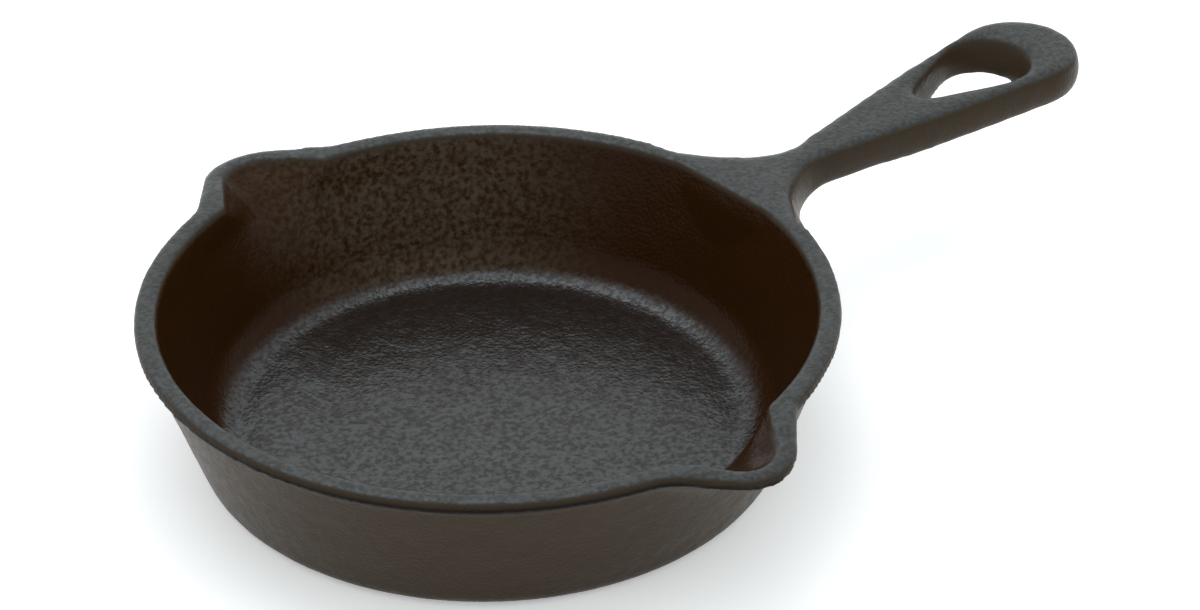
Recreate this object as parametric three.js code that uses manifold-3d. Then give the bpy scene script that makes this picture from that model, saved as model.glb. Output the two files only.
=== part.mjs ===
// A small cast iron skillet: a round pan with two pour lips, and a flat handle with a
// teardrop hanging hole.
//
// Millimetres, +Z up. The origin is the centre of the flat underside, +X runs along the
// handle, and the pour lips point along +Y and -Y. The real object is one sand casting,
// so its two members meet face to face on the plane x = JOIN_X and nothing moves.

import * as THREE from "three";
import { mergeVertices } from "three/addons/utils/BufferGeometryUtils.js";
import Module from "manifold-3d";

const wasm = await Module();
wasm.setup();

// ---- Driving dimensions ----

const RIM_RADIUS = 82.5; // outside of the rim, for a pan 165 mm across
const HEIGHT = 38.3; // underside to the top of the rim
const BEAD_RADIUS = 2; // rounding of the thickened rim
const BEAD_PROUD = 1.8; // how far the rim stands out from the wall below it
const WALL = 4.3; // thickness of the wall, measured level
const FLOOR = 5.6; // thickness of the cooking floor
const WALL_LEAN = THREE.MathUtils.degToRad(20); // lean of the wall from upright
const BASE_CORNER = 5; // outside radius between the underside and the wall
const FLOOR_FILLET = 13; // inside radius between the floor and the wall

const LIP_REACH = 94.8; // centre of the pan to the tip of a pour lip
const LIP_HALF_WIDTH = 22.5; // half the width of a lip where it leaves the rim
const LIP_TIP_RADIUS = 14; // rounding of the tip, seen from above
const LIP_DIP = 1.8; // how far the tip lies below the rim
const LIP_FOOT_Z = 24; // height of the lip's hidden foot, inside the wall
const LIP_FOOT_REACH = 76; // centre of the pan to that foot

const CHANNEL_REACH = 90.8; // centre of the pan to the end of a lip's channel
const CHANNEL_HALF_WIDTH = 16; // half its width where it leaves the inside of the rim
const CHANNEL_TIP_RADIUS = 9; // rounding of its end, seen from above
const CHANNEL_FOOT_Z = 27; // height where it runs out of the wall
const CHANNEL_FOOT_REACH = 73; // centre of the pan to its end at that height

const HANDLE_TOP_Z = 37.3; // its flat top face, just below the rim
const HANDLE_THICKNESS = 9.4;
const HANDLE_END_X = 175; // centre of the handle's round end
const HANDLE_END_RADIUS = 16.4;
const NECK_X = 103; // the end of the narrow neck
const NECK_HALF_WIDTH = 5;
const EDGE_ROUND = 2.4; // rounding of the handle's long edges
const WEB_FILLET = 19; // hollow curve from the rim to the neck, seen from above
const JOIN_X = 92; // the plane where the pan and the handle meet

const HOLE_WIDE_X = 170; // centre of the wide end of the teardrop hole
const HOLE_WIDE_RADIUS = 9.4;
const HOLE_POINT_X = 147; // centre of its narrow end
const HOLE_POINT_RADIUS = 3.2;

const RIB_HALF_WIDTH = 4.6; // the rib that deepens the root of the handle
const RIB_END_X = 124; // where it runs out into the underside of the handle
const RIB_LOW_Z = 14; // its lowest point, on the wall of the pan
const RIB_SAG = 5; // how far its hollow curve hangs below the handle at the join

const ROUND_STEPS = 64; // facets round the pan
const ARC_STEPS = 4; // half the facets along each arc of an outline
const EDGE_STEPS = 2; // facets across a rounded long edge of the handle
const SPARE = 10; // how far a cutting tool runs past what it cuts
const TUCK = 1; // how far an added member starts inside the metal that it grows from
const WELD = 1e-4; // corners nearer than this are one corner
const IRON = { color: 0x3a3835, roughness: 0.55, metalness: 0.4 };

// ---- Making solids ----

// A closed three.js geometry as a manifold-3d solid.
function solidOf(geometry) {
  const bare = geometry.clone();
  bare.deleteAttribute("normal");
  bare.deleteAttribute("uv");
  const merged = mergeVertices(bare, WELD);
  return new wasm.Manifold(
    new wasm.Mesh({
      numProp: 3,
      vertProperties: merged.attributes.position.array,
      triVerts: new Uint32Array(merged.index.array),
    }),
  );
}

// A manifold-3d solid as a named mesh.
function meshOf(name, solid) {
  const made = solid.getMesh();
  const geometry = new THREE.BufferGeometry();
  geometry.setAttribute("position", new THREE.BufferAttribute(made.vertProperties, 3));
  geometry.setIndex(new THREE.BufferAttribute(made.triVerts, 1));
  geometry.computeVertexNormals();
  const mesh = new THREE.Mesh(geometry, new THREE.MeshStandardMaterial(IRON));
  mesh.name = name;
  return mesh;
}

// A profile of (radius, height) points turned round the Z axis.
function turned(profile) {
  const geometry = new THREE.LatheGeometry(profile.getPoints(ARC_STEPS), ROUND_STEPS);
  return solidOf(geometry.rotateX(Math.PI / 2));
}

function extruded(shape, options) {
  return new THREE.ExtrudeGeometry(shape, {
    bevelEnabled: false,
    curveSegments: 2 * ARC_STEPS,
    ...options,
  });
}

// An outline seen from above as a cone-like solid: its scale about the Z axis changes
// evenly from the foot to the top.
function tapered(shape, foot, top) {
  const geometry = extruded(shape, { depth: 1 });
  const place = geometry.getAttribute("position");
  for (let i = 0; i < place.count; i++) {
    const end = place.getZ(i) > 0 ? top : foot;
    place.setXYZ(i, place.getX(i) * end.scale, place.getY(i) * end.scale, end.z);
  }
  return solidOf(geometry);
}

// Everything between two planes of constant x.
function slab(fromX, toX) {
  const box = new THREE.BoxGeometry(toX - fromX, 4 * RIM_RADIUS, 4 * HEIGHT);
  return solidOf(box.translate((fromX + toX) / 2, 0, 0));
}

// ---- The round pan ----

const UNDER_BEAD = HEIGHT - 2 * BEAD_RADIUS; // height of the thickened rim's lower edge

// Radius of the outer wall at a height, below the thickened rim.
function wallRadius(z) {
  return RIM_RADIUS - BEAD_PROUD + (z - UNDER_BEAD) * Math.tan(WALL_LEAN);
}

// Radius at the centre of an arc that joins a level floor to the leaning wall.
function cornerCentre(radius, floorZ, inset) {
  return wallRadius(floorZ + radius) - inset - radius / Math.cos(WALL_LEAN);
}

// The path runs out along the floor and turns up the wall.
function floorAndCorner(floorZ, radius, inset) {
  const centre = cornerCentre(radius, floorZ, inset);
  const path = new THREE.Path();
  path.moveTo(0, floorZ);
  path.lineTo(centre, floorZ);
  path.absarc(centre, floorZ + radius, radius, -Math.PI / 2, -WALL_LEAN);
  return path;
}

function outside() {
  const path = floorAndCorner(0, BASE_CORNER, 0);
  const centreZ = HEIGHT - BEAD_RADIUS;
  path.lineTo(wallRadius(UNDER_BEAD), UNDER_BEAD);
  path.absarc(RIM_RADIUS - BEAD_RADIUS, centreZ, BEAD_RADIUS, -Math.PI / 4, Math.PI / 2);
  path.lineTo(0, HEIGHT);
  return turned(path);
}

function hollow() {
  const path = floorAndCorner(FLOOR, FLOOR_FILLET, WALL);
  const rimInside = wallRadius(HEIGHT) - WALL;
  path.lineTo(rimInside, HEIGHT);
  path.lineTo(rimInside, HEIGHT + SPARE);
  path.lineTo(0, HEIGHT + SPARE);
  return turned(path);
}

// ---- The pour lips ----

// A lip or its channel seen from above, pointing along +Y: straight flanks that leave a
// circle round the pan and are closed by a round tip.
function lipOutline(rootRadius, halfWidth, reach, tipRadius) {
  const rootY = Math.sqrt(rootRadius ** 2 - halfWidth ** 2);
  const tipY = reach - tipRadius;
  const away = Math.hypot(halfWidth, rootY - tipY);
  const turn = Math.atan2(rootY - tipY, halfWidth);
  const touch = turn + Math.acos(tipRadius / away);
  const shape = new THREE.Shape();
  shape.moveTo(-halfWidth, rootY - SPARE);
  shape.lineTo(halfWidth, rootY - SPARE);
  shape.lineTo(halfWidth, rootY);
  shape.absarc(0, tipY, tipRadius, touch, Math.PI - touch);
  shape.lineTo(-halfWidth, rootY);
  shape.closePath();
  return shape;
}

// An outline that widens from a foot hidden in the wall up to the thickened rim, and
// then stands upright to a height.
function flared(outline, footZ, footScale, topZ) {
  const foot = { z: footZ, scale: footScale };
  const shoulder = { z: UNDER_BEAD, scale: 1 };
  const top = { z: topZ, scale: 1 };
  return tapered(outline, foot, shoulder).add(tapered(outline, shoulder, top));
}

function lip() {
  const rootRadius = RIM_RADIUS - TUCK;
  const outline = lipOutline(rootRadius, LIP_HALF_WIDTH, LIP_REACH, LIP_TIP_RADIUS);
  return flared(outline, LIP_FOOT_Z, LIP_FOOT_REACH / LIP_REACH, HEIGHT);
}

function channel() {
  const rootRadius = wallRadius(HEIGHT) - WALL;
  const outline = lipOutline(
    rootRadius,
    CHANNEL_HALF_WIDTH,
    CHANNEL_REACH,
    CHANNEL_TIP_RADIUS,
  );
  const footScale = CHANNEL_FOOT_REACH / CHANNEL_REACH;
  return flared(outline, CHANNEL_FOOT_Z, footScale, HEIGHT + SPARE / 2);
}

// The sloping cut that lets the tip of a lip dip below the rim.
function lipDip() {
  const length = LIP_REACH - RIM_RADIUS;
  const box = new THREE.BoxGeometry(4 * LIP_HALF_WIDTH, 4 * length, 2 * SPARE);
  box.translate(0, 2 * length, SPARE);
  box.rotateX(-Math.atan(LIP_DIP / length));
  return solidOf(box.translate(0, RIM_RADIUS, HEIGHT));
}

// ---- The handle ----

// Seen from above: webs that leave the rim, a narrow neck, and a widening blade with a
// round end.
function handleOutline() {
  const webY = NECK_HALF_WIDTH + WEB_FILLET;
  const webX = Math.sqrt((RIM_RADIUS + WEB_FILLET) ** 2 - webY ** 2);
  const rimTurn = Math.atan2(webY, webX);
  const rimX = RIM_RADIUS * Math.cos(rimTurn);
  const rimY = RIM_RADIUS * Math.sin(rimTurn);
  const away = Math.hypot(HANDLE_END_X - NECK_X, NECK_HALF_WIDTH);
  const turn = Math.atan2(NECK_HALF_WIDTH, NECK_X - HANDLE_END_X);
  const touch = turn - Math.acos(HANDLE_END_RADIUS / away);
  const shape = new THREE.Shape();
  shape.moveTo(rimX - SPARE, -rimY);
  shape.lineTo(rimX, -rimY);
  shape.absarc(webX, -webY, WEB_FILLET, Math.PI - rimTurn, Math.PI / 2, true);
  shape.lineTo(NECK_X, -NECK_HALF_WIDTH);
  shape.absarc(HANDLE_END_X, 0, HANDLE_END_RADIUS, -touch, touch);
  shape.lineTo(NECK_X, NECK_HALF_WIDTH);
  shape.absarc(webX, webY, WEB_FILLET, -Math.PI / 2, -Math.PI + rimTurn, true);
  shape.lineTo(rimX - SPARE, rimY);
  shape.closePath();
  shape.holes.push(holeOutline());
  return shape;
}

// Two circles joined by the straight lines that touch both.
function holeOutline() {
  const spread = (HOLE_WIDE_RADIUS - HOLE_POINT_RADIUS) / (HOLE_WIDE_X - HOLE_POINT_X);
  const touch = Math.acos(-spread);
  const path = new THREE.Path();
  path.absarc(HOLE_WIDE_X, 0, HOLE_WIDE_RADIUS, -touch, touch);
  path.absarc(HOLE_POINT_X, 0, HOLE_POINT_RADIUS, touch, 2 * Math.PI - touch);
  path.closePath();
  return path;
}

// The rib under the root, drawn in the XZ plane.
function rib() {
  const underside = HANDLE_TOP_Z - HANDLE_THICKNESS;
  const middle = HANDLE_TOP_Z - HANDLE_THICKNESS / 2;
  const wallX = wallRadius(RIB_LOW_Z) - TUCK;
  const shape = new THREE.Shape();
  shape.moveTo(wallX, middle);
  shape.lineTo(wallX, RIB_LOW_Z);
  shape.quadraticCurveTo(JOIN_X, underside - RIB_SAG, RIB_END_X, underside + TUCK);
  shape.lineTo(RIB_END_X, middle);
  shape.closePath();
  const geometry = extruded(shape, { depth: 2 * RIB_HALF_WIDTH });
  geometry.rotateX(Math.PI / 2);
  return solidOf(geometry.translate(0, RIB_HALF_WIDTH, 0));
}

// The whole handle, with the webs that reach into the rim.
function handleAndWebs() {
  const blade = extruded(handleOutline(), {
    depth: HANDLE_THICKNESS - 2 * EDGE_ROUND,
    bevelEnabled: true,
    bevelSize: EDGE_ROUND,
    bevelOffset: -EDGE_ROUND,
    bevelThickness: EDGE_ROUND,
    bevelSegments: EDGE_STEPS,
  });
  blade.translate(0, 0, HANDLE_TOP_Z - HANDLE_THICKNESS + EDGE_ROUND);
  return solidOf(blade).add(rib());
}

// ---- The skillet ----

const whole = handleAndWebs();

let pan = outside().add(whole.intersect(slab(0, JOIN_X)));
let cut = hollow();
for (const turn of [0, 180]) {
  pan = pan.add(lip().rotate([0, 0, turn]));
  cut = cut.add(channel().rotate([0, 0, turn]));
  cut = cut.add(lipDip().rotate([0, 0, turn]));
}

const handle = whole.intersect(slab(JOIN_X, HANDLE_END_X + 2 * HANDLE_END_RADIUS));

const skillet = new THREE.Group();
skillet.add(meshOf("pan", pan.subtract(cut)), meshOf("handle", handle));

export default skillet;
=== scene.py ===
# %% [markdown]
# # A small cast iron skillet
#
# A cast iron skillet is one piece of iron. Sand is packed round a pattern, the pattern is
# lifted out, and molten iron fills the space that it leaves. Everything about the look of
# the pan comes from that: the walls lean so that the pattern can be lifted, every inside
# corner is a soft fillet, and the skin keeps the fine pebbles of the sand.
#
# This notebook builds that casting in Blender around a measured model. The measured model
# has two members, a pan and a handle, and gives every place and size. All lengths are in
# metres, the origin is the centre of the underside, +X runs along the handle and +Z is up.

# %% Load the measured model
import math

import bmesh
import bpy
from mathutils import Matrix, Vector, noise


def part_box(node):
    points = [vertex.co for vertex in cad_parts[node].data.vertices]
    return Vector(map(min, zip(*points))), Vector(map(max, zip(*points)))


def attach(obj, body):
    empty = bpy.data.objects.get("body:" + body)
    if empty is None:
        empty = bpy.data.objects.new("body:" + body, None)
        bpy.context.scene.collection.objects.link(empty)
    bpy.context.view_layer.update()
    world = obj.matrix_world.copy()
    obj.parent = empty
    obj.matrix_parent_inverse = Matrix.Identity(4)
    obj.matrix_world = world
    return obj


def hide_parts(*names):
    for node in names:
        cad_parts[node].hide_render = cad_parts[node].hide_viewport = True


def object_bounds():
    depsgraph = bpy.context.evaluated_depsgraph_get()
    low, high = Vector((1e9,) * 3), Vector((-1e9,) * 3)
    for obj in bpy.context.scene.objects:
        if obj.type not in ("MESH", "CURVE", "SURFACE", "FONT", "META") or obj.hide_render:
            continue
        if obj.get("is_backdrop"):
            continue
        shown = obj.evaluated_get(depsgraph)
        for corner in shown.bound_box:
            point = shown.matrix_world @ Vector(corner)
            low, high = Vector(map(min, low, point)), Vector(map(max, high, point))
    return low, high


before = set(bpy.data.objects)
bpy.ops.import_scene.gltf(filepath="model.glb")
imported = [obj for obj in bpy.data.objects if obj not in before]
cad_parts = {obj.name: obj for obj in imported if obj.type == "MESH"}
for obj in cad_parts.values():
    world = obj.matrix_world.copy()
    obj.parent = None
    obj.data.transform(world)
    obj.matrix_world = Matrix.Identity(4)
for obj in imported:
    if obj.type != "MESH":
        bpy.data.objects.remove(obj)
cad_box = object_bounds()

# %% [markdown]
# ## Sizes
#
# The sizes that the measured model already holds are read from it, so that the two can't
# drift apart. The rim is the widest part of the round pan, so it is read from the side
# without a handle. The few sizes below it, such as the lean of the wall, are a founder's
# choices, and each has a name.

# %% Read the sizes
MM = 0.001
pan_low, pan_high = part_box("pan")
_, handle_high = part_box("handle")

rim_radius = -pan_low.x
rim_top = pan_high.z
lip_reach = pan_high.y
handle_tip = handle_high.x
handle_top = handle_high.z
blade_half_width = handle_high.y

print(f"rim {2000 * rim_radius:.1f} mm across, {1000 * rim_top:.1f} mm high")
print(f"lips reach {1000 * lip_reach:.1f} mm, handle ends at {1000 * handle_tip:.1f} mm")

# %% [markdown]
# ## Camera
#
# The pan is seen from about 33 degrees above the table, from the side opposite the handle
# and well to the right of its line, through a long lens from just over a metre away. A
# long lens keeps the round rim a clean ellipse. The camera points at the centre of the
# rim, and a small shift slides the picture sideways to leave room for the handle without
# turning the camera.

# %% Place the camera
ELEVATION = math.radians(32.6)
AZIMUTH = math.radians(-40.3)
ROLL = math.radians(-1.45)
DISTANCE = 1.166
FOCAL_LENGTH = 150
SLIDE_RIGHT = 0.094
SLIDE_UP = -0.0022


def camera_axes(azimuth, elevation, roll):
    """Right, up and back of a camera that looks at the pan from that side."""
    level = math.cos(elevation)
    back = Vector((math.sin(azimuth) * level, -math.cos(azimuth) * level, math.sin(elevation)))
    right = Vector((math.cos(azimuth), math.sin(azimuth), 0))
    up = back.cross(right)
    rolled_right = right * math.cos(roll) + up * math.sin(roll)
    rolled_up = up * math.cos(roll) - right * math.sin(roll)
    return rolled_right, rolled_up, back


rim_centre = Vector((0, 0, rim_top))
right, up, back = camera_axes(AZIMUTH, ELEVATION, ROLL)
turn = Matrix((right, up, back)).transposed().to_4x4()

lens = bpy.data.cameras.new("table camera")
lens.sensor_width = 36
lens.lens = FOCAL_LENGTH
lens.shift_x = SLIDE_RIGHT
lens.shift_y = SLIDE_UP
lens.clip_start = 0.05

camera = bpy.data.objects.new("table camera", lens)
camera.matrix_world = Matrix.Translation(rim_centre + back * DISTANCE) @ turn
bpy.context.collection.objects.link(camera)
bpy.context.scene.camera = camera
print("camera stands at", [round(v, 3) for v in camera.matrix_world.translation])

# %% [markdown]
# ## Table and light
#
# Dark iron shows its shape by what it reflects, so the pan stands on a plain white table. A
# plane is enough for it. The table glows a little, which keeps it nearly white right up to
# the pan, as a lit table in a studio is. It lies a tenth of a millimetre below the
# underside, because two faces in one plane would flicker through each other.

# %% Lay the table
TABLE_HALF = 4.0
TABLE_GAP = 0.1 * MM
TABLE_WHITE = (0.95, 0.95, 0.95)
TABLE_GLOW = 0.28

bm = bmesh.new()
bmesh.ops.create_grid(bm, x_segments=1, y_segments=1, size=TABLE_HALF)
table_mesh = bpy.data.meshes.new("table")
bm.to_mesh(table_mesh)
bm.free()
table = bpy.data.objects.new("table", table_mesh)
table.location.z = -TABLE_GAP
bpy.context.collection.objects.link(table)
table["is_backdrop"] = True

white = bpy.data.materials.new("white table")
white.use_nodes = True
white_shader = white.node_tree.nodes["Principled BSDF"]
white_shader.inputs["Base Color"].default_value = (*TABLE_WHITE, 1)
white_shader.inputs["Roughness"].default_value = 0.8
white_shader.inputs["Emission Color"].default_value = (1, 1, 1, 1)
white_shader.inputs["Emission Strength"].default_value = TABLE_GLOW
table_mesh.materials.append(white)
print("table is", 2 * TABLE_HALF, "m wide")

# %% [markdown]
# ### Soft light
#
# A small bright lamp would draw hard spots on the pebbled skin. A white room, with a touch
# of blue in it, gives the upward faces their soft grey sheen instead. One broad lamp,
# overhead and a little behind, adds a highlight along the edges and a faint shadow.

# %% Hang the lights
ROOM_COLOUR = (0.94, 0.99, 1.0)
ROOM_BRIGHTNESS = 1.02
LAMP_PLACE = Vector((0.1, 0.5, 1.3))
LAMP_SIZE = 1.0
LAMP_POWER = 4

scene = bpy.context.scene
scene.view_settings.view_transform = "Standard"

room = bpy.data.worlds.new("white room")
room.use_nodes = True
room_light = room.node_tree.nodes["Background"]
room_light.inputs["Color"].default_value = (*ROOM_COLOUR, 1)
room_light.inputs["Strength"].default_value = ROOM_BRIGHTNESS
scene.world = room

softbox = bpy.data.lights.new("overhead softbox", "AREA")
softbox.size = LAMP_SIZE
softbox.energy = LAMP_POWER
lamp = bpy.data.objects.new("overhead softbox", softbox)
lamp.rotation_euler = (-LAMP_PLACE).to_track_quat("-Z", "Y").to_euler()
lamp.location = LAMP_PLACE
bpy.context.collection.objects.link(lamp)

# %% [markdown]
# ## The round pan
#
# On the real pan this is a dish with a leaning wall and a rounded, thickened rim. It could
# be a cylinder pushed into shape, but a dish is the same all the way round, so the usual
# way is to draw half of its section and spin it. The section here has only its corners:
# the rounding of each corner comes afterwards from a bevel, so a radius stays a number
# that can be changed.

# %% Draw the section and spin it
FLOOR = 5.6 * MM
WALL = 4.3 * MM
WALL_LEAN = math.radians(20)
BEAD_PROUD = 1.8 * MM
BEAD_TALL = 2.7 * MM
BEAD_SLOPE = 0.5 * MM
SPIN_STEPS = 720
SAME_PLACE = 0.001 * MM

lean = math.tan(WALL_LEAN)
bead_foot_z = rim_top - BEAD_TALL - BEAD_SLOPE


def wall_radius(z):
    """Outside radius of the leaning wall at a height, below the rim's bead."""
    return rim_radius - BEAD_PROUD + (z - bead_foot_z) * lean


def inside_radius(z):
    """Inside radius of the wall at a height."""
    return wall_radius(z) - WALL


section = [
    (0, 0),
    (wall_radius(0), 0),
    (wall_radius(bead_foot_z), bead_foot_z),
    (rim_radius, rim_top - BEAD_TALL),
    (rim_radius, rim_top),
    (inside_radius(rim_top), rim_top),
    (inside_radius(FLOOR), FLOOR),
    (0, FLOOR),
]
BASE_RING, BEAD_FOOT_RING, BEAD_LOW_RING, RIM_RING, MOUTH_RING, FLOOR_RING = range(1, 7)

pan_bm = bmesh.new()
corners = [pan_bm.verts.new((radius, 0, z)) for radius, z in section]
edges = [pan_bm.edges.new(pair) for pair in zip(corners, corners[1:])]
bmesh.ops.spin(
    pan_bm,
    geom=corners + edges,
    cent=(0, 0, 0),
    axis=(0, 0, 1),
    angle=2 * math.pi,
    steps=SPIN_STEPS,
    use_merge=True,
)
bmesh.ops.remove_doubles(pan_bm, verts=pan_bm.verts, dist=SAME_PLACE)
bmesh.ops.recalc_face_normals(pan_bm, faces=pan_bm.faces)
print("spun dish:", len(pan_bm.verts), "corners,", len(pan_bm.faces), "faces")

# %% [markdown]
# ### Round the corners
#
# A bevel asks how far to stand back from a corner, not for a radius. For a radius R on two
# faces that meet at an angle, that distance is R divided by the tangent of half the angle.
# The wall leans outwards, so both the foot of the wall and the floor corner are wider than
# a right angle.

# %% Bevel the rings
BASE_CORNER = 5 * MM
FLOOR_FILLET = 11 * MM
FOOT_ANGLE = math.pi / 2 + WALL_LEAN
BEAD_FOOT_BACK = 0.3 * MM
BEAD_LOW_BACK = 0.5 * MM
RIM_BACK = 1.4 * MM
MOUTH_BACK = 0.9 * MM
ON_RING = 0.01 * MM


def ring_edges(bm, radius, z):
    """The edges of the circle at that radius and height."""

    def on_ring(vert):
        off = abs(math.hypot(vert.co.x, vert.co.y) - radius) + abs(vert.co.z - z)
        return off < ON_RING

    return [e for e in bm.edges if all(on_ring(v) for v in e.verts)]


def round_ring(bm, corner, stand_back, segments):
    """Rounds the ring that a corner of the section makes."""
    radius, z = section[corner]
    bmesh.ops.bevel(
        bm,
        geom=ring_edges(bm, radius, z),
        offset=stand_back,
        offset_type="OFFSET",
        segments=segments,
        profile=0.5,
        affect="EDGES",
        material=-1,
    )


round_ring(pan_bm, BASE_RING, BASE_CORNER / math.tan(FOOT_ANGLE / 2), segments=8)
round_ring(pan_bm, FLOOR_RING, FLOOR_FILLET / math.tan(FOOT_ANGLE / 2), segments=12)
round_ring(pan_bm, BEAD_FOOT_RING, BEAD_FOOT_BACK, segments=2)
round_ring(pan_bm, BEAD_LOW_RING, BEAD_LOW_BACK, segments=3)
round_ring(pan_bm, RIM_RING, RIM_BACK, segments=5)
round_ring(pan_bm, MOUTH_RING, MOUTH_BACK, segments=3)
print("rounded dish:", len(pan_bm.faces), "faces")

# %% [markdown]
# ### Pull out the pour lips
#
# Each lip is a spout pressed into the rim, with a round tip and straight flanks. It could
# be a second solid joined on with a boolean, but then the bead of the rim would stop at
# the joint. Here the wall itself is pulled outwards, as a potter pulls a spout: every
# point near the lip moves away from the axis by as much as the lip stands out there, so
# the bead travels round the lip without a break. The bead stays upright, and below it the
# spout narrows quickly into the wall, like a cone. The two lips sit a little out of square
# to the handle, as a pattern made by hand leaves them.
#
# The spun wall has points only at its top and its foot. Before it can be pulled it needs
# rows of points in between, so its long edges are subdivided.

# %% Add rows to the wall
WALL_ROWS = 24
LONG_EDGE = 12 * MM


def wall_edges(bm):
    """The long edges that run up the wall, inside and outside."""
    return [e for e in bm.edges if abs(e.verts[0].co.z - e.verts[1].co.z) > LONG_EDGE]


bmesh.ops.subdivide_edges(pan_bm, edges=wall_edges(pan_bm), cuts=WALL_ROWS, use_grid_fill=True)
print("dish with rows:", len(pan_bm.verts), "corners")

# %% [markdown]
# ### The outline of a lip
#
# Seen from above, a lip is a round tip with a straight flank on either side, which runs
# back to the rim and touches the tip. The channel inside it has the same form, but is
# smaller. A free curve could follow either one, but three sizes say it more clearly: how
# wide it is at the rim, how far it reaches, and how round the tip is. The turn of the
# flank follows from them.

# %% Measure a lip from above
LIP_HALF_WIDTH = 22.5 * MM
LIP_TIP_RADIUS = 14 * MM
CHANNEL_HALF_WIDTH = 16 * MM
CHANNEL_REACH = 90.8 * MM
CHANNEL_TIP_RADIUS = 9 * MM
LIP_TUCK = 1 * MM
TIP_SPARE = 0.4 * MM

lip_root = rim_radius - LIP_TUCK
channel_root = inside_radius(rim_top)


def spout(root_radius, half_width, reach, tip_radius):
    """The round tip and straight flank of a lip's outline, seen from above."""
    root_y = math.sqrt(root_radius**2 - half_width**2)
    tip_y = reach - tip_radius
    away = math.hypot(half_width, root_y - tip_y)
    flank_turn = math.atan2(root_y - tip_y, half_width) + math.acos(tip_radius / away)
    return tip_y, tip_radius, flank_turn


outer_lip = spout(lip_root, LIP_HALF_WIDTH, lip_reach + TIP_SPARE, LIP_TIP_RADIUS)
channel = spout(channel_root, CHANNEL_HALF_WIDTH, CHANNEL_REACH, CHANNEL_TIP_RADIUS)


def lip_radius(turn, outline):
    """Distance from the axis to an outline, a turn away from the lip's own line."""
    tip_y, tip, flank_turn = outline
    touch_x = tip * math.cos(flank_turn)
    touch_y = tip_y + tip * math.sin(flank_turn)
    if turn < math.atan2(touch_x, touch_y):
        across = tip_y * math.sin(turn)
        return tip_y * math.cos(turn) + math.sqrt(tip**2 - across**2)
    return (tip_y * math.sin(flank_turn) + tip) / math.sin(turn + flank_turn)


for name, outline in (("lip", outer_lip), ("channel", channel)):
    flank = math.degrees(outline[2])
    print(f"{name} reaches {1000 * lip_radius(0, outline):.1f} mm, flank turn {flank:.0f} deg")

# %% [markdown]
# ### The pull
#
# A point keeps its direction from the axis and its share of the wall's thickness, and
# moves outwards. Outside, it follows the lip's outline, and inside, the channel's. Hard
# limits between moved and still points would leave creases, so every limit is a soft one:
# an even S over a short distance, or a curve that turns gently where the lip leaves the
# rim. Last of all, the tip of the lip dips a little, so that it pours cleanly.

# %% Pull the wall out to the lips
LIP_SECTOR = math.radians(50)
FULL_STRENGTH = 0.7
OUT_OF_SQUARE = math.radians(1.7)
LIP_FOOT_Z = 24 * MM
LIP_FOOT_SCALE = 0.80
CHANNEL_FOOT_Z = 27 * MM
CHANNEL_FOOT_SCALE = 0.80
CHANNEL_LIP = 1.2 * MM
OUTSIDE_BLEND = 1.6 * MM
MOUTH_BLEND = 0.5 * MM
SCOOP_BLEND = 5.0 * MM
SCOOP_TALL = 8 * MM
SKIN = 0.2 * MM
LIP_DIP = 1.8 * MM
DIP_FROM_Z = 0.5 * rim_top


def soft_positive(amount, blend):
    """amount where it is positive and nothing where it is negative, with a soft turn."""
    return 0.5 * (amount + math.sqrt(amount**2 + blend**2))


def smooth_step(value, low, high):
    """0 below low, 1 above high, and an even S between them."""
    share = min(1, max(0, (value - low) / (high - low)))
    return share * share * (3 - 2 * share)


def cone_scale(z, top_z, foot_z, foot_scale):
    """1 above the top of a cone, and less and less down it."""
    return 1 - (1 - foot_scale) * max(0, top_z - z) / (top_z - foot_z)


def along_lip(co):
    """How far out along the lips' own line a point lies, on either side."""
    return abs(co.y * math.cos(OUT_OF_SQUARE) - co.x * math.sin(OUT_OF_SQUARE))


def lip_drop(along):
    """How far the bead has dipped, that far along the lips' line from the axis."""
    return LIP_DIP * max(0, along - rim_radius) / (lip_reach - rim_radius)


def pulled(co):
    """Where a point of the dish goes when the lips are pulled out."""
    radius = math.hypot(co.x, co.y)
    if radius < inside_radius(FLOOR):
        return co
    turn = math.acos(min(1, along_lip(co) / radius))
    if turn > LIP_SECTOR:
        return co
    strength = 1 - smooth_step(turn, FULL_STRENGTH * LIP_SECTOR, LIP_SECTOR)
    bead_line = rim_radius - lean * max(0, bead_foot_z - co.z)
    inner_line = inside_radius(co.z)
    scoop_top = rim_top - CHANNEL_LIP
    outer_scale = cone_scale(co.z, bead_foot_z, LIP_FOOT_Z, LIP_FOOT_SCALE)
    inner_scale = cone_scale(co.z, scoop_top, CHANNEL_FOOT_Z, CHANNEL_FOOT_SCALE)
    inside_blend = MOUTH_BLEND + SCOOP_BLEND * smooth_step(scoop_top - co.z, 0, SCOOP_TALL)
    out_reach = outer_scale * lip_radius(turn, outer_lip)
    out_move = soft_positive(out_reach - bead_line, OUTSIDE_BLEND)
    in_reach = inner_scale * lip_radius(turn, channel)
    in_move = soft_positive(in_reach - min(radius, inner_line), inside_blend)
    in_move *= smooth_step(co.z, 0.5 * CHANNEL_FOOT_Z, CHANNEL_FOOT_Z)
    metal = smooth_step(radius, inner_line + SKIN, wall_radius(co.z) - SKIN)
    grown = radius + strength * (in_move + (out_move - in_move) * metal)
    drop = lip_drop(grown * math.cos(turn)) * smooth_step(co.z, DIP_FROM_Z, rim_top)
    return Vector((co.x * grown / radius, co.y * grown / radius, co.z - drop))


for vert in pan_bm.verts:
    vert.co = pulled(vert.co)
farthest = max(v.co.y for v in pan_bm.verts)
print(f"lips now reach {1000 * farthest:.2f} mm")

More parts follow.
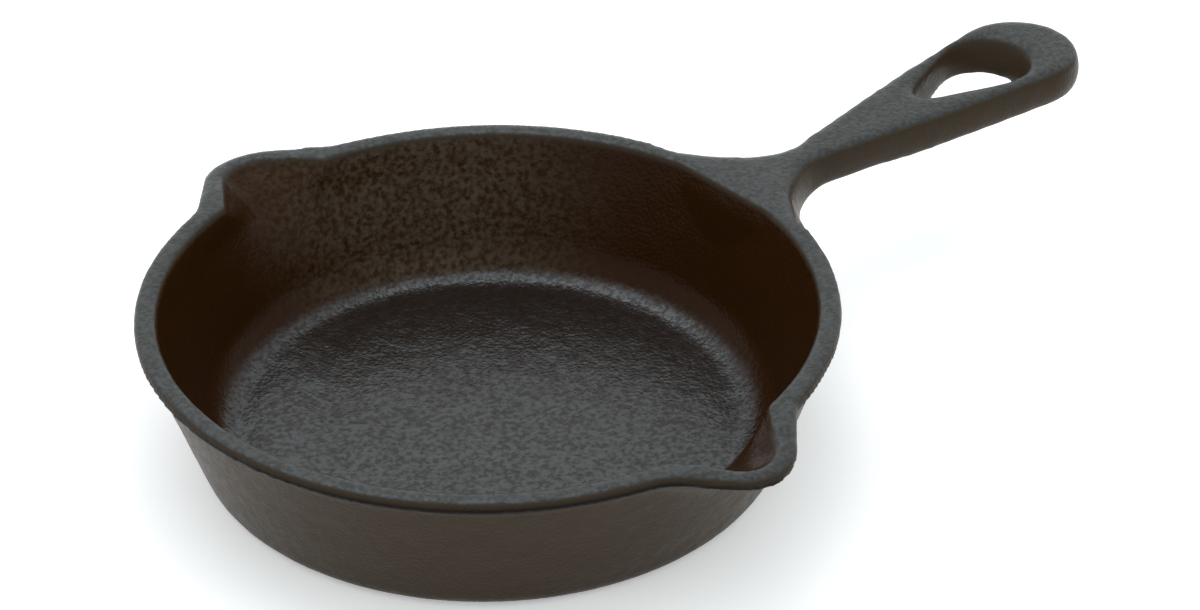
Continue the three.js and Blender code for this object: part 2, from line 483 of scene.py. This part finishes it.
# %% [markdown]
# ## The handle
#
# The handle is a flat blade that widens to a round end, with sides that slope out to the
# parting line of the mould half way down and back in below it. It could be an extruded
# outline with a bevel, but the slopes change along it. A quicker way is to lay out a few
# discs, wide in the middle and smaller above and below, and stretch a convex hull over
# them like a skin.

# %% Stretch the blade over discs
NECK_X = 103 * MM
NECK_HALF_WIDTH = 5 * MM
BLADE_THICK = 9.9 * MM
SIDE_SLOPE = 1.1 * MM
SWELL_X = 148 * MM
SWELL_HALF_WIDTH = 12.7 * MM
DISC_STEPS = 96
END_SPARE = 2.2 * MM
end_x = handle_tip - blade_half_width + END_SPARE
parting_z = handle_top - BLADE_THICK / 2
under_z = handle_top - BLADE_THICK


def piece_from(bm, name):
    """A named piece with the finished bmesh."""
    mesh = bpy.data.meshes.new(name)
    bm.to_mesh(mesh)
    bm.free()
    piece = bpy.data.objects.new(name, mesh)
    bpy.context.collection.objects.link(piece)
    return piece


def skin_over(name, discs):
    """The convex skin over level discs, each given as x, z and radius."""
    bm = bmesh.new()
    for x, z, radius in discs:
        place = Matrix.Translation((x, 0, z))
        bmesh.ops.create_circle(bm, segments=DISC_STEPS, radius=radius, matrix=place)
    made = bmesh.ops.convex_hull(bm, input=bm.verts)
    spare = set(made["geom_interior"] + made["geom_unused"])
    spare_verts = [v for v in spare if isinstance(v, bmesh.types.BMVert)]
    bmesh.ops.delete(bm, geom=spare_verts, context="VERTS")
    bmesh.ops.delete(bm, geom=[e for e in bm.edges if not e.link_faces], context="EDGES")
    bmesh.ops.recalc_face_normals(bm, faces=bm.faces)
    return piece_from(bm, name)


blade_discs = []
for z, slope in ((handle_top, SIDE_SLOPE), (parting_z, 0), (under_z, SIDE_SLOPE)):
    blade_discs.append((NECK_X, z, NECK_HALF_WIDTH - slope))
    blade_discs.append((SWELL_X, z, SWELL_HALF_WIDTH - slope))
    blade_discs.append((end_x, z, blade_half_width - slope))
blade = skin_over("blade", blade_discs)
print("blade:", len(blade.data.polygons), "faces")

# %% [markdown]
# ### The hanging hole
#
# A teardrop hole lets the pan hang on a hook with its handle upright. The sand core that
# leaves it has a draft too, so the hole is wider above than below, most of all at its
# round end. A core settles a little off the centre line, so one strip beside the hole is
# narrower. The core is another skin over discs, and a boolean takes it out of the blade.

# %% Cut the teardrop
CORE_SPARE = 2 * MM
HOLE_OFF_CENTRE = 1.3 * MM
hole_top = {"wide": (168.0 * MM, 11.4 * MM), "point": (146.0 * MM, 3.4 * MM)}
hole_under = {"wide": (165.6 * MM, 9.2 * MM), "point": (149.3 * MM, 2.4 * MM)}


def hole_disc(end, z):
    """One end of the hole at a height, on the straight draft between its two faces."""
    share = (z - under_z) / BLADE_THICK
    low, high = hole_under[end], hole_top[end]
    x = low[0] + (high[0] - low[0]) * share
    radius = low[1] + (high[1] - low[1]) * share
    return x, z, radius


core_heights = (under_z - CORE_SPARE, handle_top + CORE_SPARE)
core_discs = [hole_disc(end, z) for end in hole_top for z in core_heights]
core = skin_over("sand core", core_discs)
core.data.transform(Matrix.Translation((0, HOLE_OFF_CENTRE, 0)))


def evaluated(piece):
    """A new mesh with the piece's modifiers applied."""
    ready = piece.evaluated_get(bpy.context.evaluated_depsgraph_get())
    return bpy.data.meshes.new_from_object(ready)


cut = blade.modifiers.new("teardrop", "BOOLEAN")
cut.operation = "DIFFERENCE"
cut.solver = "EXACT"
cut.object = core
blade_cut = evaluated(blade)
bpy.data.objects.remove(core)
bpy.data.objects.remove(blade)
print("blade with its hole:", len(blade_cut.polygons), "faces")

# %% [markdown]
# ### The root
#
# Where the handle leaves the rim it spreads into two hollow webs, and below it a rib runs
# down the wall, so that the iron flows in and the handle can't snap off. Every section
# across the root has the same few corners, and only their places change along it. So the
# root is measured first, as functions of the distance from the axis.

# %% Measure the root
WEB_FILLET = 25 * MM
MIDDLE_SHIFT = 3 * MM
UNDER_SHIFT = 5 * MM
RIB_HALF_WIDTH = 4.8 * MM
RIB_END_X = 124 * MM
RIB_START_X = 72 * MM
RIB_DEPTH = 17 * MM
RIB_HOLLOW = 2.8
RIB_TUCK = 0.6 * MM
RIB_FLARE = 0.35

web_y = NECK_HALF_WIDTH + WEB_FILLET
web_x = math.sqrt((rim_radius + WEB_FILLET) ** 2 - web_y**2)
web_start_x = web_x * rim_radius / (rim_radius + WEB_FILLET)


def web_half_width(x):
    """Half the width of the root, between hollow arcs that leave the rim."""
    along = min(max(x, web_start_x), web_x)
    return web_y - math.sqrt(WEB_FILLET**2 - (web_x - along) ** 2)


def rib_z(x):
    """Height of the rib's lower edge, which runs out under the blade."""
    share = min(1, max(0, (x - RIB_START_X) / (RIB_END_X - RIB_START_X)))
    return under_z + RIB_TUCK - RIB_DEPTH * (1 - share) ** RIB_HOLLOW


def root_top(x):
    """Height of the root's top face, from the rim down to the blade."""
    return rim_top - (rim_top - handle_top) * smooth_step(x, rim_radius, NECK_X)


def half_ring(x):
    """The right half of a section of the root, from the top down, as y and z."""
    top = root_top(x)
    slope = SIDE_SLOPE * smooth_step(x, rim_radius, web_x)
    at_top = web_half_width(x)
    at_middle = web_half_width(x - MIDDLE_SHIFT)
    low_half = max(RIB_HALF_WIDTH, web_half_width(x - UNDER_SHIFT) - slope)
    rib_half = RIB_HALF_WIDTH + RIB_FLARE * (low_half - RIB_HALF_WIDTH)
    return [
        (at_top - slope, top),
        (at_middle, top - BLADE_THICK / 2),
        (low_half, top - BLADE_THICK),
        (min(low_half, rib_half), rib_z(x)),
    ]


print(f"webs run from x = {1000 * web_start_x:.1f} to {1000 * web_x:.1f} mm")

# %% [markdown]
# ### A loft from ring to ring
#
# The root could be one block with its corners cut back, but its sides are hollow both ways.
# A loft follows that: a ring of edges at each station along the handle, and faces bridged
# from each ring to the next. The stations stand close where the webs curve, and far apart
# under the straight neck. The corners of the first ring are buried in the middle of the
# wall. The ring is flat where the wall is round, so its middle makes a slight flat inside.

# %% Loft the root
BURIED = 2.2 * MM
FIRST_STATION = rim_radius - 0.5 * MM
STATION_STEP = 2 * MM
CLOSE_STATIONS = 11

stations = [FIRST_STATION + step * STATION_STEP for step in range(CLOSE_STATIONS)]
stations += [110 * MM, 117 * MM, RIB_END_X]


def root_ring(bm, x, buried=False):
    """The edges of one ring of the root."""
    half = half_ring(x)
    around = half + [(-y, z) for y, z in reversed(half)]
    verts = []
    for y, z in around:
        across = math.sqrt((wall_radius(z) - BURIED) ** 2 - y * y) if buried else x
        verts.append(bm.verts.new((across, y, z)))
    return [bm.edges.new(pair) for pair in zip(verts, verts[1:] + verts[:1])]


root_bm = bmesh.new()
rings = [root_ring(root_bm, web_start_x - BURIED, buried=True)]
rings += [root_ring(root_bm, x) for x in stations]
for ring, following in zip(rings, rings[1:]):
    bmesh.ops.bridge_loops(root_bm, edges=ring + following)
bmesh.ops.holes_fill(root_bm, edges=rings[0] + rings[-1], sides=0)
bmesh.ops.recalc_face_normals(root_bm, faces=root_bm.faces)
print("root:", len(root_bm.faces), "faces")

# %% [markdown]
# ## One casting
#
# The dish, the root and the blade overlap, but a casting has no seams. Joining them and
# remeshing with small voxels melts them into one skin, the way that iron fills one mould.
# It could be done with booleans, but then each fillet would have to be built by hand,
# while the remeshed skin can simply be smoothed where the members meet.

# %% Melt the members together
VOXEL = 1.0 * MM

pan_bm.from_mesh(blade_cut)
root_mesh = bpy.data.meshes.new("root")
root_bm.to_mesh(root_mesh)
root_bm.free()
pan_bm.from_mesh(root_mesh)
bmesh.ops.triangulate(pan_bm, faces=pan_bm.faces)
rough = piece_from(pan_bm, "rough casting")

melt = rough.modifiers.new("melt", "REMESH")
melt.mode = "VOXEL"
melt.voxel_size = VOXEL
casting_mesh = evaluated(rough)
bpy.data.objects.remove(rough)
print("casting:", len(casting_mesh.vertices), "points,", len(casting_mesh.polygons), "faces")

# %% [markdown]
# ### Soften the joints
#
# A few rounds of smoothing act like a thumb run along wet clay. They are kept to the handle
# and the outside of its root, in boxes that shrink from round to round, so that the
# softness fades out and the crisp mouth of the rim stays as it is. The blade gets the most
# rounds, because the voxels leave small steps along its slanting sides.

# %% Smooth where the members meet
HALFWAY = 0.5
ROOT_START = rim_radius - 8 * MM
ROOT_END = NECK_X + 6 * MM
ROOT_HALF_WIDTH = 27 * MM
ROOT_INTO_WALL = 1.5 * MM
UNDER_END = RIB_END_X + 6 * MM
BLADE_STARTS = (102 * MM, 106 * MM, 112 * MM, 138 * MM)

cast = bmesh.new()
cast.from_mesh(casting_mesh)


def smooth_in(bm, inside, rounds):
    """Rounds of smoothing on the points that a test picks."""
    chosen = [v for v in bm.verts if inside(v.co)]
    for _ in range(rounds):
        bmesh.ops.smooth_vert(
            bm, verts=chosen, factor=HALFWAY, use_axis_x=True, use_axis_y=True, use_axis_z=True
        )
    return len(chosen)


def at_root(margin):
    """A test for the outside of the root, in a box that a margin makes smaller."""

    def inside(co):
        out = math.hypot(co.x, co.y) - wall_radius(co.z)
        along = ROOT_START + margin < co.x < ROOT_END - margin
        return along and abs(co.y) < ROOT_HALF_WIDTH - 2 * margin and out > -ROOT_INTO_WALL

    return inside


for margin in (0, 1.5 * MM, 3 * MM):
    print("smoothed", smooth_in(cast, at_root(margin), rounds=5), "points of the root")


def past(start):
    """A test for the blade, from a distance along the handle outwards."""
    return lambda co: co.x > start


for start in BLADE_STARTS:
    print("smoothed", smooth_in(cast, past(start), rounds=4), "points of the blade")


def under_root(margin):
    """A test for the underside of the rib and the neck."""
    low, high = rim_radius + margin, UNDER_END - margin
    return lambda co: low < co.x < high and co.z < parting_z


for margin in (0, 3 * MM, 6 * MM):
    print("smoothed", smooth_in(cast, under_root(margin), rounds=4), "points under the root")

# %% [markdown]
# ### Uneven skin
#
# Sand doesn't leave a machined surface. The skin swells and sinks by about a tenth of a
# millimetre over a finger's width. Every point moves along its normal by a noise value, and
# the flat underside, which is ground level, stays flat.

# %% Make the skin uneven
SWELL = 0.10 * MM
SWELL_LENGTH = 9 * MM
DIMPLE = 0.06 * MM
DIMPLE_LENGTH = 3.2 * MM
FLAT_BELOW = 0.5 * MM
UNEVEN_ABOVE = 2 * MM

cast.normal_update()
moves = []
for vert in cast.verts:
    swell = SWELL * noise.noise(vert.co / SWELL_LENGTH)
    dimple = DIMPLE * noise.noise(vert.co / DIMPLE_LENGTH)
    above_base = smooth_step(vert.co.z, FLAT_BELOW, UNEVEN_ABOVE)
    moves.append(vert.normal * (swell + dimple) * above_base)
for vert, move in zip(cast.verts, moves):
    vert.co += move
for face in cast.faces:
    face.smooth = True
print("largest move:", round(max(m.length for m in moves) * 1e6), "microns")

# %% [markdown]
# ### Thick seasoning and a painted shadow line
# #
# Oil pools inside the dish and bakes there to a thick brown varnish. In the sharp corner
# below the rim's bead, a nearly black line is a painted shadow. The finish can't find those
# places by itself, so each point stores how far it belongs to them.

# %% Mark the thick seasoning and the painted shadow
CORNER_RAISE = 0.6 * MM
CORNER_CORE = 0.7 * MM
CORNER_TALL = 1.9 * MM
ROOT_CLEAR = 4 * MM
MOUTH_LOW = 1.9 * MM
MOUTH_HIGH = 0.7 * MM
FACES_OUT = 0.3
LIP_REGION = 60 * MM
FLOOR_EDGE = 0.6 * FLOOR_FILLET
NOT_FLOOR = 0.80
ALL_FLOOR = 0.975


def outward_share(vert):
    """How far a point's normal faces away from the axis of the pan."""
    level = math.hypot(vert.co.x, vert.co.y)
    return (vert.normal.x * vert.co.x + vert.normal.y * vert.co.y) / max(level, MM)


def in_painted_bead_shadow(vert):
    """1 in the corner below the bead, where the shadow line is painted, and 0 away from it."""
    co = vert.co
    beside_root = co.x > rim_radius - ROOT_CLEAR and abs(co.y) < web_y
    if outward_share(vert) < FACES_OUT or beside_root:
        return 0
    off = abs(co.z + lip_drop(along_lip(co)) - bead_foot_z - CORNER_RAISE)
    return 1 - smooth_step(off, CORNER_CORE, CORNER_TALL)


def in_dish(vert):
    """1 on the floor and the inside of the wall, and 0 elsewhere."""
    co = vert.co
    if outward_share(vert) > FACES_OUT or co.z < 0.5 * FLOOR:
        return 0
    past_wall = math.hypot(co.x, co.y) > inside_radius(co.z) + 0.5 * WALL
    if past_wall and along_lip(co) < LIP_REGION:
        return 0
    depth = rim_top - lip_drop(along_lip(co)) - co.z
    return smooth_step(depth, MOUTH_HIGH, MOUTH_LOW)


def on_floor(vert):
    """1 on the flat cooking floor, fading out up the fillet round it."""
    if vert.co.z > FLOOR + FLOOR_EDGE:
        return 0
    return smooth_step(vert.normal.z, NOT_FLOOR, ALL_FLOOR) * in_dish(vert)


marks = {"painted_bead_shadow": in_painted_bead_shadow, "dish": in_dish, "floor": on_floor}
for name, measure in marks.items():
    layer = cast.verts.layers.float.new(name)
    for vert in cast.verts:
        vert[layer] = measure(vert)
    print("points of", name + ":", sum(1 for v in cast.verts if v[layer] > 0.5))
skillet = piece_from(cast, "skillet_casting")

# %% [markdown]
# ## Seasoned iron
#
# Seasoning is oil baked on until it is a thin brown-black varnish. Where it is thick, on
# the walls, the iron is a warm dark brown. On the floor, the rim and the top of the handle
# it is thinner and rubbed, and the grey of the iron comes through; on the upward faces
# outside the dish that grey is partly a painted reflection of the white room. The varnish
# is satin, so most of what is seen is a soft reflection, broken up by the pebbles of the
# sand.
#
# A painted picture could hold all of that, but it would need the skin laid out flat. A few
# noises that read the place of each point do the same, and stay sharp from any distance.

# %% Start the finish
iron = bpy.data.materials.new("seasoned iron")
iron.use_nodes = True
tree = iron.node_tree
shader = tree.nodes["Principled BSDF"]
shader.inputs["Metallic"].default_value = 0.0
shader.inputs["IOR"].default_value = 1.5
where = tree.nodes.new("ShaderNodeTexCoord")
facing = tree.nodes.new("ShaderNodeNewGeometry")


def grain(length, detail):
    """A noise whose lumps are about that many metres long."""
    made = tree.nodes.new("ShaderNodeTexNoise")
    made.inputs["Scale"].default_value = 1 / length
    made.inputs["Detail"].default_value = detail
    tree.links.new(where.outputs["Object"], made.inputs["Vector"])
    return made.outputs["Fac"]


def spread(value, low, high, to_low=0.0, to_high=1.0):
    """Stretches the part of a value between low and high over a new range."""
    made = tree.nodes.new("ShaderNodeMapRange")
    made.interpolation_type = "SMOOTHSTEP"
    made.inputs["From Min"].default_value = low
    made.inputs["From Max"].default_value = high
    made.inputs["To Min"].default_value = to_low
    made.inputs["To Max"].default_value = to_high
    tree.links.new(value, made.inputs["Value"])
    return made.outputs["Result"]


def combine(kind, first, second):
    """The sum, difference or product of two values. Either may be a plain number."""
    made = tree.nodes.new("ShaderNodeMath")
    made.operation = kind
    for socket, value in zip(made.inputs, (first, second)):
        if isinstance(value, (int, float)):
            socket.default_value = value
        else:
            tree.links.new(value, socket)
    return made.outputs[0]


def tint(share, low, high):
    """A colour between two colours. Each may be a colour or another tint."""
    made = tree.nodes.new("ShaderNodeMix")
    made.data_type = "RGBA"
    tree.links.new(share, made.inputs["Factor"])
    for socket, colour in ((made.inputs["A"], low), (made.inputs["B"], high)):
        if isinstance(colour, tuple):
            socket.default_value = (*colour, 1)
        else:
            tree.links.new(colour, socket)
    return made.outputs["Result"]


print("finish started:", iron.name)

# %% [markdown]
# ### Colour
#
# The colours are mixed by place. The stored values split the dish, the floor and the bead's
# corner from the rest, and the corner gets a painted shadow, a nearly black line. The way a
# face points splits the upward faces from the brown sides; their grey is partly rubbed
# seasoning and partly a painted reflection of the white room. On the far side of the wall a
# paler, flecked patch is a painted reflection. Its colour fades out with the distance from
# one point.

# %% Colour the seasoning
DISH_BROWN = (0.0240, 0.0085, 0.0020)
# A pale, flecked painted reflection on the far inner wall.
PAINTED_REFLECTION_PALE = (0.0640, 0.0470, 0.0300)
FLOOR_BROWN = (0.0160, 0.0100, 0.0075)
OUTSIDE_BROWN = (0.0335, 0.0218, 0.0118)
# Grey for upward faces: partly rubbed seasoning, partly a painted reflection of the white room.
RUBBED_AND_PAINTED_REFLECTION_GREY = (0.0240, 0.0225, 0.0200)
# A painted shadow: the nearly black line in the corner below the bead.
PAINTED_BEAD_SHADOW = (0.0060, 0.0042, 0.0030)
PAINTED_REFLECTION_PLACE = (34 * MM, 64 * MM, 26 * MM)
PAINTED_REFLECTION_REACH = 56 * MM
PAINTED_REFLECTION_CORE = 0.2 * PAINTED_REFLECTION_REACH
FLECK = 1.4 * MM
FLECK_BAND = (0.30, 0.70)
TOP_FACING = (0.55, 0.95)


def stored(name):
    """A value that the points of the piece store."""
    made = tree.nodes.new("ShaderNodeAttribute")
    made.attribute_name = name
    return made.outputs["Fac"]


corner = stored("painted_bead_shadow")
dish = stored("dish")
floor = stored("floor")
upward = tree.nodes.new("ShaderNodeSeparateXYZ")
tree.links.new(facing.outputs["Normal"], upward.inputs["Vector"])
flat_top = spread(upward.outputs["Z"], *TOP_FACING)

# A painted reflection: paler flecks on the far inner wall, fading with the distance from one point.
from_painted_reflection = tree.nodes.new("ShaderNodeVectorMath")
from_painted_reflection.operation = "DISTANCE"
tree.links.new(where.outputs["Object"], from_painted_reflection.inputs[0])
from_painted_reflection.inputs[1].default_value = PAINTED_REFLECTION_PLACE
near_painted_reflection = spread(from_painted_reflection.outputs["Value"], PAINTED_REFLECTION_REACH, PAINTED_REFLECTION_CORE)
flecks = spread(grain(FLECK, detail=3), *FLECK_BAND)
painted_reflection_flecks = combine("MULTIPLY", near_painted_reflection, flecks)

inside_colour = tint(floor, tint(painted_reflection_flecks, DISH_BROWN, PAINTED_REFLECTION_PALE), FLOOR_BROWN)
# Upward faces outside the dish turn grey: partly rubbed seasoning, partly painted reflection.
outside_colour = tint(flat_top, OUTSIDE_BROWN, RUBBED_AND_PAINTED_REFLECTION_GREY)
seasoned = tint(dish, outside_colour, inside_colour)
# The corner below the bead gets the painted shadow, a nearly black line.
tree.links.new(tint(corner, seasoned, PAINTED_BEAD_SHADOW), shader.inputs["Base Color"])
print("colour mixed from", len(tree.nodes), "nodes")

# %% [markdown]
# ### Sheen
#
# A thick coat is smooth but dark, and a rubbed one shows more of the metal's own shine. One
# plain roughness would make the two look alike, so the strength of the reflection also
# changes by place: weak inside the dish and in the corner of the bead, strong on the floor
# and the rubbed top. A speckle varies it where the sand left high grains, which handling
# has polished.

# %% Set the sheen
DISH_LEVEL = 0.07
FLOOR_LEVEL = 0.52
OUTSIDE_LEVEL = 0.11
TOP_LEVEL = 0.39
CORNER_LEVEL = 0.05
SPECKLE = 1.25 * MM
SPECKLE_BAND = (0.36, 0.64)
SPECKLE_SWING = (0.60, 1.55)
SOFT_BAND = (0.34, 0.66)
SOFT_SWING = (0.65, 1.35)
SATIN_PATCH = 2.2 * MM
SATIN_BAND = (0.3, 0.7)
SATIN = (0.18, 0.26)
OUTSIDE_DULLER = 0.14
COOL_TINT = (0.86, 0.95, 1.0)

speckle = spread(grain(SPECKLE, detail=3), *SPECKLE_BAND, *SPECKLE_SWING)
soft_speckle = spread(grain(SPECKLE, detail=3), *SOFT_BAND, *SOFT_SWING)


def amount(share, low, high):
    """A number between two numbers. Each may be another amount."""
    made = tree.nodes.new("ShaderNodeMix")
    tree.links.new(share, made.inputs["Factor"])
    for socket, value in ((made.inputs["A"], low), (made.inputs["B"], high)):
        if isinstance(value, (int, float)):
            socket.default_value = value
        else:
            tree.links.new(value, socket)
    return made.outputs["Result"]


outside_level = amount(flat_top, OUTSIDE_LEVEL, TOP_LEVEL)
even_level = amount(dish, outside_level, amount(floor, DISH_LEVEL, FLOOR_LEVEL))
speckles = amount(floor, amount(flat_top, 1.0, soft_speckle), speckle)
speckled_level = combine("MULTIPLY", even_level, speckles)
level = amount(corner, speckled_level, CORNER_LEVEL)
tree.links.new(level, shader.inputs["Specular IOR Level"])
shader.inputs["Specular Tint"].default_value = (*COOL_TINT, 1)

satin = spread(grain(SATIN_PATCH, detail=3), *SATIN_BAND, *SATIN)
roughness = amount(dish, combine("ADD", satin, OUTSIDE_DULLER), satin)
tree.links.new(roughness, shader.inputs["Roughness"])
print(f"roughness {SATIN[0]} to {SATIN[1] + OUTSIDE_DULLER:.2f}")

# %% [markdown]
# ### Pebbles
#
# The sand prints its grains into the iron as pebbles of just under a millimetre. Modelled,
# they would take millions of faces, and they are too small to change the outline, so a bump
# is enough. A soft cell pattern gives the round pebbles, and a finer noise breaks them up.

# %% Pebble the skin
PEBBLE = 0.95 * MM
PEBBLE_HEIGHT = 0.07 * MM
FINE = 0.45 * MM
FINE_SHARE = 0.5

pebbles = tree.nodes.new("ShaderNodeTexVoronoi")
pebbles.feature = "SMOOTH_F1"
pebbles.inputs["Scale"].default_value = 1 / PEBBLE
pebbles.inputs["Smoothness"].default_value = 0.5
tree.links.new(where.outputs["Object"], pebbles.inputs["Vector"])
fine = combine("MULTIPLY", grain(FINE, detail=2), FINE_SHARE)
height = combine("SUBTRACT", fine, pebbles.outputs["Distance"])
bump = tree.nodes.new("ShaderNodeBump")
bump.inputs["Strength"].default_value = 1.0
bump.inputs["Distance"].default_value = PEBBLE_HEIGHT
tree.links.new(height, bump.inputs["Height"])
tree.links.new(bump.outputs["Normal"], shader.inputs["Normal"])
skillet.data.materials.append(iron)
print("pebbled:", skillet.name, "with", iron.name)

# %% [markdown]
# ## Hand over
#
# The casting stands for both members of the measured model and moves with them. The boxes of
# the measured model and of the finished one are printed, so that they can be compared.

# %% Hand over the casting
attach(skillet, "root")
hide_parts("pan", "handle")

visual_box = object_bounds()
boxes = {"cad": [list(corner) for corner in cad_box], "visual": [list(corner) for corner in visual_box]}
for name, (low, high) in boxes.items():
    print(name, [round(1000 * v, 2) for v in low], [round(1000 * v, 2) for v in high])
